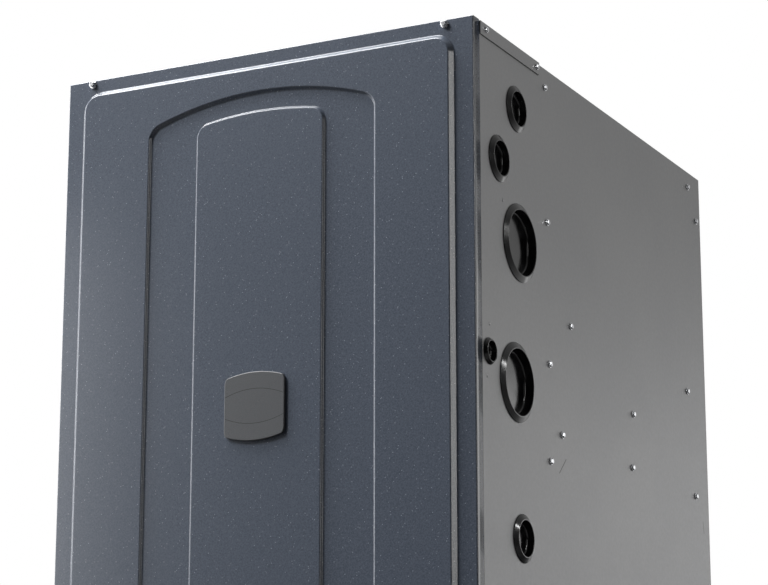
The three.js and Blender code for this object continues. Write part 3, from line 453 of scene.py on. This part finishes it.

# ---------- Door badge ----------
# A dark grey moulded plate, left bare: its top and bottom are arcs, its edge is bevelled, and two fine arced
# grooves run across it, drawn as near-black strips of painted shade. It is stuck to the raised middle of the
# door.
badge_middle = door_high.z - 0.417
badge_half, badge_tall, badge_swell, badge_corner = 0.0383, 0.0388, 0.0063, 0.0065
badge_back, badge_thick, badge_edge = -0.3630, 0.0035, 0.0009
line_half, line_tall, line_swell, line_width, line_plane = 0.0372, 0.0199, 0.0076, 0.0007, -0.36655
badge_grey = Finish("badge_moulding", (0.082, 0.086, 0.093), 0.36)
shades = (0.35, (0.074, 0.078, 0.085)), (0.7, (0.09, 0.095, 0.102))
badge_grey.colour(badge_grey.ramp(badge_grey.noise(900.0), *shades))
badge_grey.bump(badge_grey.noise(2200.0, 2.0), 0.00004, 0.4)
# The grooves are not cut: near-black strips on the plate's face paint the shade that would lie in them.
groove_painted_shade = Finish("badge_painted_groove_shade", (0.012, 0.012, 0.013), 0.5)
groove_painted_shade.bump(groove_painted_shade.noise(2200.0), 0.00003, 0.3)


def arc_points(half, centre_height, swell, count):
    """Points of a shallow arc across the badge, `swell` higher at its middle than at its ends."""
    share = [2 * i / count - 1 for i in range(count + 1)]
    return [(t * half, centre_height - swell * t * t) for t in share]


bm = bmesh.new()
outline = arc_points(badge_half, badge_tall, badge_swell, 24)
outline = outline + [(-x, -z) for x, z in outline]
plate = flat_face(bm, [(x, badge_middle + z) for x, z in outline], badge_back)
ends = [v for v in plate.verts if abs(abs(v.co.x) - badge_half) < 1e-6]
softened(bm, ends, badge_corner, 7, "VERTICES")
bm.faces.ensure_lookup_table()
risen = bmesh.ops.extrude_face_region(bm, geom=[bm.faces[-1]])["geom"]
bmesh.ops.translate(bm, vec=(0.0, -badge_thick, 0.0), verts=corners_of(risen))
front = next(g for g in risen if isinstance(g, bmesh.types.BMFace))
softened(bm, list(front.edges), badge_edge, 4)
bmesh.ops.recalc_face_normals(bm, faces=bm.faces)
piece("badge_plate", bm, "door", badge_grey, ["door_badge"])

bm = bmesh.new()
for side in (-1, 1):
    high = arc_points(line_half, line_tall, line_swell, 24)
    low = [(x, z - line_width) for x, z in reversed(high)]
    flat_face(bm, [(x, badge_middle + side * z) for x, z in high + low], line_plane)
piece("badge_painted_groove_shades", bm, "door", groove_painted_shade)

# ---------- Door screws ----------
# Two bright zinc-plated hex-washer screws at the door's top corners. Each goes through a clearance hole and
# holds the door to the top plate.
bright = Finish("bright_zinc_plating", (0.66, 0.67, 0.69), 0.24, 1.0)
bright.gloss(bright.ramp(bright.noise(500.0, 3.0), (0.35, 0.2), (0.7, 0.34)))
bright.bump(bright.noise(900.0, 2.0), 0.00002, 0.3)


def rounded(profile, steps=4):
    """Rounds a profile's corners: a point is (radius, height) or (radius, height, corner radius)."""
    made = []
    for i, (r, h, *bend) in enumerate(profile):
        here = Vector((r, h))
        if not bend:
            made.append(here)
            continue
        back = (Vector(profile[i - 1][:2]) - here).normalized()
        on = (Vector(profile[(i + 1) % len(profile)][:2]) - here).normalized()
        half = back.angle(on) / 2
        middle = here + (back + on).normalized() * bend[0] / math.sin(half)
        start, end = here + back * bend[0] / math.tan(half), here + on * bend[0] / math.tan(half)
        first, last = (start - middle).normalized(), (end - middle).normalized()
        made += [middle + first.slerp(last, k / steps) * bend[0] for k in range(steps + 1)]
    return made


def turned(bm, profile, centre, axis, steps=64):
    """Turns a profile about an axis. Height runs along the axis, and a profile off the axis makes a ring."""
    along = Vector(axis)
    across = Vector((0.0, 0.0, 1.0)) if abs(along.z) < 0.5 else Vector((1.0, 0.0, 0.0))
    made = [bm.verts.new(Vector(centre) + across * p.x + along * p.y) for p in rounded(profile)]
    pairs = list(zip(made, made[1:]))
    if profile[0][0] > 0:
        pairs.append((made[-1], made[0]))
    edges = [bm.edges.new(pair) for pair in pairs]
    bmesh.ops.spin(
        bm, geom=made + edges, cent=centre, axis=axis, angle=2 * math.pi, steps=steps, use_merge=True,
    )
    bmesh.ops.remove_doubles(bm, verts=[v for v in bm.verts if v.is_valid], dist=2e-6)
    bmesh.ops.recalc_face_normals(bm, faces=bm.faces)


def hex_screw(bm, seat, axis, washer, across, height):
    """A hex-washer head that stands on `seat`."""
    disc = [(0.0, 0.0), (washer, 0.0), (washer, 0.0011, 0.0004), (across * 0.52, 0.0014), (0.0, 0.0014)]
    turned(bm, disc, seat, axis, 32)
    point = across * 0.577  # from the middle to a corner of the hexagon
    head = [(0.0, 0.001), (point, 0.001), (point, height - 0.0006), (across * 0.45, height), (0.0, height)]
    turned(bm, head, seat, axis, 6)


for side, node in ((-1, "door_screw_left"), (1, "door_screw_right")):
    bm = bmesh.new()
    seat = (side * 0.2324, -0.3564, 0.8581)
    hex_screw(bm, seat, (0.0, -1.0, 0.0), 0.0046, 0.0066, 0.0048)
    shank = [(0.0, -0.0238), (0.0006, -0.0238), (0.0018, -0.021), (0.0018, 0.0), (0.0, 0.0)]
    turned(bm, shank, seat, (0.0, -1.0, 0.0), 24)
    piece(node + "_head", bm, "door", bright, [node])

# ---------- Casing ----------
# Side panels, top plate, base, deck, back and partition, folded from plain zinc-coated sheet and held
# together with small hex-washer screws. The side panel also shows rivet dimples and two short slits.
zinc = Finish("zinc_coated_sheet", (0.262, 0.262, 0.264), 0.46, 0.8)
zinc.colour(zinc.ramp(zinc.noise(5.0, 3.0), (0.35, (0.254, 0.255, 0.258)), (0.65, (0.272, 0.272, 0.273))))
zinc.gloss(zinc.ramp(zinc.noise(240.0, 4.0, 0.6), (0.3, 0.4), (0.7, 0.48)))
zinc.bump(zinc.noise(900.0, 2.0), 0.00002, 0.3)
paint(
    zinc, "side_panel_left", "side_panel_right", "top_front_plate", "back_panel", "base_frame", "blower_deck",
    "vest_panel", "control_panel", "burner_box", "motor_mount",
)

# Millimetres behind the door's margin and above its top, read from the photograph.
screw_places = [
    (197.5, -26.0), (198.3, -189.3), (678.2, -23.8), (706.6, -64.6), (262.8, -299.3), (198.8, -356.3),
    (653.5, -307.3), (457.2, -371.0), (232.3, -433.0), (198.0, -468.5), (450.4, -438.3), (674.6, -442.8),
]
plate_screw_places = [(32.2, -7.6), (172.0, -8.4)]
dimple_places = [(74.7, -193.7), (36.3, -342.2), (28.8, -401.0)]
slits = [((243.1, -459.2), (222.1, -478.6)), ((699.4, -472.6), (702.1, -488.2))]
casing_side, skirt_side, slit_side, slit_half = 0.2667, 0.2682, 0.26675, 0.0004


def side_place(side, out, back, height):
    """A place on the casing's side, from its millimetres behind the door's margin and above the door's top."""
    return (side * out, margin_plane + back / 1000, door_high.z + height / 1000)


for side, word in ((-1, "left"), (1, "right")):
    bm = bmesh.new()
    for back, height in screw_places:
        hex_screw(bm, side_place(side, casing_side, back, height), (side, 0.0, 0.0), 0.0042, 0.006, 0.0030)
    for back, height in plate_screw_places:
        hex_screw(bm, side_place(side, skirt_side, back, height), (side, 0.0, 0.0), 0.0036, 0.0055, 0.0026)
    piece("casing_screws_" + word, bm, "casing", bright)

bm = bmesh.new()
for back, height in dimple_places:
    dome = [(0.0, 0.0), (0.0021, 0.0), (0.0017, 0.0005), (0.0008, 0.0008), (0.0, 0.0009)]
    turned(bm, dome, side_place(1, casing_side, back, height), (1.0, 0.0, 0.0), 24)
piece("casing_dimples", bm, "casing", zinc)

bm = bmesh.new()
for (back_a, height_a), (back_b, height_b) in slits:
    a = Vector(side_place(1, slit_side, back_a, height_a))
    b = Vector(side_place(1, slit_side, back_b, height_b))
    wide = (b - a).cross(Vector((1.0, 0.0, 0.0))).normalized() * slit_half
    face = bm.faces.new([bm.verts.new(p) for p in (a - wide, a + wide, b + wide, b - wide)])
    face.normal_update()
    if face.normal.x < 0:
        face.normal_flip()
slit_dark = Finish("slit_shadow", (0.02, 0.02, 0.021), 0.7)
slit_dark.bump(slit_dark.noise(900.0), 0.00002, 0.2)
piece("casing_slits", bm, "casing", slit_dark)

# ---------- Side plugs ----------
# Gloss black snap-in plugs close the spare holes for pipes, vent, wiring and drain in both side panels.
# Each is moulded with a bevelled collar that stands proud and a sunk floor with a rounded edge.
black = Finish("gloss_black_plastic", (0.012, 0.012, 0.013), 0.14)
black.gloss(black.ramp(black.noise(60.0, 3.0), (0.35, 0.1), (0.7, 0.19)))
black.bump(black.noise(260.0, 2.0), 0.00001, 0.15)
plug_sizes = {  # distance back, height from the door's top, radius, bevel's width, depth
    "pipe_upper_plug": (113.8, -76.6, 0.0270, 0.0070, 0.0084),
    "pipe_lower_plug": (65.0, -148.0, 0.0268, 0.0070, 0.0084),
    "vent_upper_plug": (119.4, -232.6, 0.0452, 0.0076, 0.0104),
    "vent_lower_plug": (106.7, -394.2, 0.0450, 0.0076, 0.0104),
    "wiring_plug": (34.3, -372.8, 0.0149, 0.0037, 0.0070),
    "drain_plug": (118.9, -565.8, 0.0270, 0.0070, 0.0084),
}
collar = 0.0042
for name, (back, height, radius, bevel, depth) in plug_sizes.items():
    inner, floor_level, neck = radius - bevel, collar - depth, radius - 0.0038
    form = [
        (0.0, floor_level), (inner - 0.0012, floor_level, 0.0022), (inner, collar, 0.0005),
        (inner + 0.0012, collar, 0.0007), (radius, 0.0009, 0.0005), (radius, 0.0003), (neck, 0.0003),
        (neck, floor_level - 0.0023, 0.0008), (0.0, floor_level - 0.0023),
    ]
    for side, word in ((-1, "left"), (1, "right")):
        bm = bmesh.new()
        turned(bm, form, side_place(side, casing_side, back, height), (side, 0.0, 0.0), 96)
        piece(f"{name}_moulding_{word}", bm, "casing", black, [f"{name}_{word}"])

# ---------- Pipes ----------
# Two-inch white plastic pipes, cut square. The vent rises from the inducer's socket, and the combustion-air
# pipe drops into the burner box.
pvc = Finish("white_plastic_pipe", (0.72, 0.715, 0.69), 0.32)
pipe_bore, pipe_outer, pipe_top, pipe_edge = 0.02625, 0.03015, 0.8624, 0.0008
pvc.colour(pvc.ramp(pvc.noise(18.0, 3.0), (0.3, (0.69, 0.685, 0.66)), (0.7, (0.74, 0.735, 0.712))))
pvc.bump(pvc.noise(60.0, 2.0), 0.00003, 0.3)
for node, x, foot in (("vent_pipe", -0.21205, 0.5743), ("intake_pipe", 0.1, 0.7653)):
    bm = bmesh.new()
    wall = [
        (pipe_bore, foot), (pipe_bore, pipe_top, pipe_edge),
        (pipe_outer, pipe_top, pipe_edge), (pipe_outer, foot),
    ]
    turned(bm, wall, (x, -0.2262, 0.0), (0.0, 0.0, 1.0), 72)
    piece(node + "_tube", bm, "casing", pvc, [node])

# ---------- Burners and gas train ----------
# Four in-shot burners, formed from aluminised tube, stand in a box. A black iron rail with a spud for each
# burner is fed by a cast gas valve. The igniter and flame sensor are ceramic, the switches phenolic.
aluminised = Finish("aluminised_steel", (0.42, 0.42, 0.41), 0.38, 0.85)
aluminised.colour(aluminised.mix("MIX", 0.2, (0.42, 0.42, 0.41), aluminised.speckle(260.0).outputs["Color"]))
aluminised.bump(aluminised.noise(420.0, 3.0), 0.00005, 0.4)
burner_first, burner_pitch, burner_height = -0.135, 0.09, 0.72
for i in range(4):
    bm = bmesh.new()
    form = [
        (0.0, 0.006), (0.005, 0.006), (0.018, 0.0, 0.0008), (0.012, 0.016, 0.006), (0.011, 0.034, 0.03),
        (0.015, 0.096, 0.03), (0.0182, 0.108, 0.004), (0.0182, 0.1237), (0.0, 0.1237),
    ]
    turned(bm, form, (burner_first + burner_pitch * i, -0.2742, burner_height), (0.0, 1.0, 0.0), 56)
    piece(f"burner_{i + 1}_tube", bm, "casing", aluminised, [f"burner_{i + 1}"])

cast = Finish("cast_alloy", (0.4, 0.405, 0.41), 0.5, 0.8)
cast.bump(cast.noise(650.0, 3.0, 0.6), 0.00018, 0.5)
paint(cast, "gas_valve")
iron = Finish("black_iron_pipe", (0.045, 0.046, 0.05), 0.42, 0.3)
iron.bump(iron.noise(500.0, 3.0), 0.00006, 0.5)
paint(iron, "gas_manifold")
knob_black = Finish("control_knob", (0.03, 0.03, 0.032), 0.4)
knob_black.bump(knob_black.noise(900.0), 0.00003, 0.3)
paint(knob_black, "gas_valve_knob", "rollout_reset_button")
clay = Finish("ceramic", (0.66, 0.62, 0.54), 0.7)
clay.colour(clay.ramp(clay.noise(220.0, 3.0), (0.3, (0.6, 0.56, 0.48)), (0.7, (0.7, 0.66, 0.58))))
clay.bump(clay.noise(600.0, 3.0), 0.0001, 0.4)
paint(clay, "igniter", "flame_sensor")
phenolic = Finish("phenolic_moulding", (0.03, 0.028, 0.026), 0.45)
phenolic.bump(phenolic.noise(500.0, 2.0), 0.00005, 0.4)
paint(phenolic, "rollout_switch", "door_switch", "door_switch_plunger")

# ---------- Heat exchanger ----------
# Four serpentine tubes of aluminised steel turn down behind the burners into the rear header, and a
# stainless finned coil brings the gas forward again to a moulded header with its trap.
tube_radius, tube_wall, tube_mouth, tube_end = 0.0184, 0.0012, -0.1486, 0.2938
tube_bend, tube_front, tube_rear = 0.042, -0.0762, 0.2634


def carried(bm, edges, reach):
    """Draws an open ring of edges straight back and gives the far ring."""
    made = drawn(bm, edges, (0.0, reach, 0.0))
    return [g for g in made if isinstance(g, bmesh.types.BMEdge) and len(g.link_faces) == 1]


def bent(bm, edges, centre, turn):
    """Takes a ring of edges round a half circle in the plane of the tube."""
    made = bmesh.ops.spin(bm, geom=edges, cent=centre, axis=(1.0, 0.0, 0.0), angle=turn, steps=18)["geom_last"]
    return [g for g in made if isinstance(g, bmesh.types.BMEdge)]


for i in range(4):
    bm = bmesh.new()
    x = burner_first + burner_pitch * i
    mouth = Matrix.Translation((x, tube_mouth, burner_height)) @ Matrix.Rotation(math.pi / 2, 4, "X")
    ring = bmesh.ops.create_circle(bm, segments=40, radius=tube_radius, matrix=mouth)["verts"]
    edges = list({e for v in ring for e in v.link_edges})
    edges = carried(bm, edges, tube_rear - tube_mouth)
    edges = bent(bm, edges, (x, tube_rear, burner_height - tube_bend), -math.pi)
    edges = carried(bm, edges, tube_front - tube_rear)
    edges = bent(bm, edges, (x, tube_front, burner_height - 3 * tube_bend), math.pi)
    carried(bm, edges, tube_end - tube_front)
    bmesh.ops.remove_doubles(bm, verts=bm.verts, dist=1e-6)
    bmesh.ops.recalc_face_normals(bm, faces=bm.faces)
    name = f"primary_tube_{i + 1}"
    thicken(piece(name + "_run", bm, "casing", aluminised, [name]), tube_wall, -1.0)

stainless = Finish("stainless_sheet", (0.45, 0.44, 0.42), 0.3, 1.0)
stainless.gloss(stainless.ramp(stainless.noise(300.0, 3.0, 0.5, (1.0, 0.05, 1.0)), (0.3, 0.24), (0.7, 0.36)))
stainless.bump(stainless.noise(300.0, 3.0, 0.5, (1.0, 0.05, 1.0)), 0.00003, 0.4)
paint(stainless, "secondary_coil", "rear_header")
moulding = Finish("dark_filled_moulding", (0.035, 0.036, 0.038), 0.5)
moulding.bump(moulding.noise(420.0, 3.0), 0.00008, 0.5)
paint(moulding, "front_header", "condensate_trap", "inducer_housing", "pressure_switch")
foil = Finish("foil_facing", (0.6, 0.61, 0.62), 0.32, 0.9)
foil.bump(foil.noise(70.0, 4.0, 0.6), 0.0006, 0.5)
paint(foil, "insulation_liner")
hose = Finish("rubber_hose", (0.015, 0.015, 0.015), 0.6)
hose.bump(hose.noise(700.0, 3.0), 0.00008, 0.4)
paint(hose, "pressure_hose")

# ---------- Draft inducer ----------
# A small fan draws the flue gas through. Its housing is a dark moulding, its wheel is cast, and an open
# drip-proof motor in dark enamel stands on three legs in front.
enamel = Finish("dark_enamel", (0.045, 0.046, 0.05), 0.36, 0.2)
enamel.colour(enamel.ramp(enamel.noise(300.0, 3.0), (0.3, (0.038, 0.039, 0.042)), (0.7, (0.052, 0.053, 0.057))))
enamel.bump(enamel.noise(500.0, 2.0), 0.00004, 0.4)
paint(cast, "inducer_wheel")
paint(enamel, "inducer_motor")

# ---------- Blower ----------
# The forward-curved wheel: pressed blades between two rings and a centre plate, spun by a motor that
# hangs from three arms inside a zinc-coated sheet scroll with a rolled inlet in each side.
wheel_y, wheel_z, wheel_radius, blade_root = 0.0438, 0.198, 0.127, 0.108
blade_count, blade_half, blade_thick, blade_deep, blade_lean = 24, 0.1235, 0.0011, 0.0184, 0.0102
axle = (0.0, wheel_y, wheel_z)
bm = bmesh.new()
share = [k / 7 for k in range(8)]
line = [(blade_root + blade_deep * t, blade_lean * t**1.6) for t in share]
edge_points = [bm.verts.new((-blade_half, wheel_y + r, wheel_z + v)) for r, v in line]
blade_edges = [bm.edges.new(pair) for pair in zip(edge_points, edge_points[1:])]
drawn(bm, blade_edges, (2 * blade_half, 0.0, 0.0))
bmesh.ops.solidify(bm, geom=list(bm.faces), thickness=blade_thick)
bmesh.ops.spin(
    bm, geom=list(bm.verts) + list(bm.edges) + list(bm.faces), cent=axle, axis=(1.0, 0.0, 0.0),
    angle=2 * math.pi * (blade_count - 1) / blade_count, steps=blade_count - 1, use_duplicate=True,
)
for side in (-1, 1):
    ring = [
        (blade_root - 0.001, 0.122), (blade_root - 0.001, 0.125, 0.0008), (wheel_radius, 0.125, 0.0012),
        (wheel_radius, 0.122),
    ]
    turned(bm, ring, axle, (side, 0.0, 0.0), 96)
centre = [
    (0.0, -0.014), (0.0062, -0.014, 0.0008), (0.0062, -0.008), (0.015, -0.008, 0.001), (0.015, -0.001),
    (0.1265, -0.001), (0.1265, 0.001), (0.015, 0.001), (0.015, 0.022, 0.001), (0.0062, 0.022),
    (0.0062, 0.044, 0.0008), (0.0, 0.044),
]
turned(bm, centre, axle, (1.0, 0.0, 0.0), 96)
piece("blower_wheel_blades", bm, "blower_rotor", zinc, ["blower_wheel"])

scroll_start, scroll_end, cutoff, deck_under, scroll_half = 0.142, 0.19, math.pi / 3, 0.3833, 0.1406
scroll_sheet, eye_radius, lip_half, lip_width = 0.001, 0.1095, 0.154, 0.014


def scroll_line(steps):
    """The scroll's side outline as (y, z) points, up one side of its throat and down the other."""
    made = []
    for k in range(steps + 1):
        turn = cutoff + (2 * math.pi - cutoff) * k / steps
        r = scroll_start + (scroll_end - scroll_start) * k / steps
        made.append((wheel_y + r * math.cos(turn), wheel_z + r * math.sin(turn)))
    return [(made[0][0], deck_under), *made, (made[-1][0], deck_under)]


bm = bmesh.new()
wrap = [bm.verts.new((-scroll_half, y, z)) for y, z in scroll_line(90)]
wrap_edges = [bm.edges.new(pair) for pair in zip(wrap, wrap[1:])]
drawn(bm, wrap_edges, (2 * scroll_half, 0.0, 0.0))
for side in (-1, 1):
    rim_points = [bm.verts.new((side * scroll_half, y, z)) for y, z in scroll_line(90)]
    rim_loop = [bm.edges.new(pair) for pair in zip(rim_points, rim_points[1:] + rim_points[:1])]
    at_eye = Matrix.Translation((side * scroll_half, wheel_y, wheel_z)) @ Matrix.Rotation(math.pi / 2, 4, "Y")
    eye = bmesh.ops.create_circle(bm, segments=96, radius=eye_radius, matrix=at_eye)["verts"]
    eye_loop = list({e for v in eye for e in v.link_edges})
    bmesh.ops.triangle_fill(bm, use_beauty=True, edges=rim_loop + eye_loop, normal=(float(side), 0.0, 0.0))
mouth_near, mouth_far = wheel_y + scroll_start * math.cos(cutoff), wheel_y + scroll_end
lip = bm.faces.new([
    bm.verts.new((x, y, deck_under - 0.0006))
    for x, y in rectangle(lip_half, mouth_near - lip_width, mouth_far + lip_width)
])
bmesh.ops.inset_region(bm, faces=[lip], thickness=lip_width + scroll_sheet / 2, depth=0.0)
bmesh.ops.delete(bm, geom=[lip], context="FACES_ONLY")
bmesh.ops.recalc_face_normals(bm, faces=bm.faces)
housing = piece("blower_scroll", bm, "casing", zinc, ["blower_housing"])
thicken(housing, scroll_sheet, 0.0)

bm = bmesh.new()
for side in (-1, 1):
    bell = [
        (0.1105, 0.1412), (0.1066, 0.1404, 0.003), (0.1062, 0.132), (0.1072, 0.132), (0.1078, 0.1394, 0.002),
        (0.1105, 0.1402),
    ]
    turned(bm, bell, axle, (side, 0.0, 0.0), 96)
piece("blower_inlet_rings", bm, "casing", zinc)

bm = bmesh.new()
shell = [
    (0.0065, 0.0302), (0.02, 0.0302, 0.001), (0.022, 0.035, 0.001), (0.059, 0.038, 0.004),
    (0.065, 0.044, 0.003), (0.065, 0.124, 0.003), (0.057, 0.134, 0.003), (0.0, 0.134), (0.0, 0.046),
    (0.0065, 0.046),
]
turned(bm, shell, axle, (1.0, 0.0, 0.0), 72)
piece("blower_motor_shell", bm, "casing", enamel, ["blower_motor"])

# ---------- Controls ----------
# The circuit board is a masked card on four plastic posts in the blower compartment, next to its transformer.
# It carries relays, a connector, capacitors, a chip and a row of fuses, which are soldered on.
green = Finish("circuit_board_mask", (0.02, 0.09, 0.04), 0.3)
green.colour(green.ramp(green.noise(160.0, 1.0), (0.45, (0.016, 0.075, 0.032)), (0.55, (0.024, 0.105, 0.048))))
green.bump(green.noise(500.0, 2.0), 0.00004, 0.3)
board_face = -0.2685


def block(bm, low, high, bend=0.0006):
    """A moulded block between two corners, with softened edges."""
    low, high = Vector(low), Vector(high)
    made = bmesh.ops.create_cube(
        bm, size=1.0, matrix=Matrix.Translation((low + high) / 2) @ Matrix.Diagonal((*(high - low), 1.0)),
    )["verts"]
    softened(bm, list({e for v in made for e in v.link_edges}), bend, 3)


bm = bmesh.new()
block(bm, (-0.235, board_face, 0.195), (-0.085, board_face + 0.002, 0.355), 0.0003)
piece("circuit_board_card", bm, "casing", green, ["control_board"])
bm = bmesh.new()
for x, z in ((-0.229, 0.201), (-0.091, 0.201), (-0.229, 0.349), (-0.091, 0.349)):
    post = [(0.0, 0.0), (0.0035, 0.0, 0.0006), (0.0028, 0.003), (0.0028, 0.0138), (0.0, 0.0138)]
    turned(bm, post, (x, board_face - 0.0018, z), (0.0, 1.0, 0.0), 20)
for z in (0.3, 0.325):
    block(bm, (-0.225, board_face - 0.014, z), (-0.2, board_face, z + 0.019), 0.001)
block(bm, (-0.17, board_face - 0.009, 0.338), (-0.095, board_face, 0.35), 0.0008)
piece("circuit_board_parts", bm, "casing", pvc)
bm = bmesh.new()
block(bm, (-0.17, board_face - 0.003, 0.26), (-0.14, board_face, 0.29), 0.0004)
for x in (-0.21, -0.185):
    can = [
        (0.0, -0.02), (0.009, -0.02, 0.0012), (0.009, -0.004, 0.001), (0.0084, -0.003),
        (0.009, 0.0), (0.0, 0.0),
    ]
    turned(bm, can, (x, board_face, 0.225), (0.0, 1.0, 0.0), 40)
for k in range(9):
    block(bm, (-0.128 + 0.004 * k, board_face - 0.004, 0.206), (-0.1262 + 0.004 * k, board_face, 0.222), 0.0002)
piece("circuit_board_cans", bm, "casing", phenolic)
paint(enamel, "transformer")
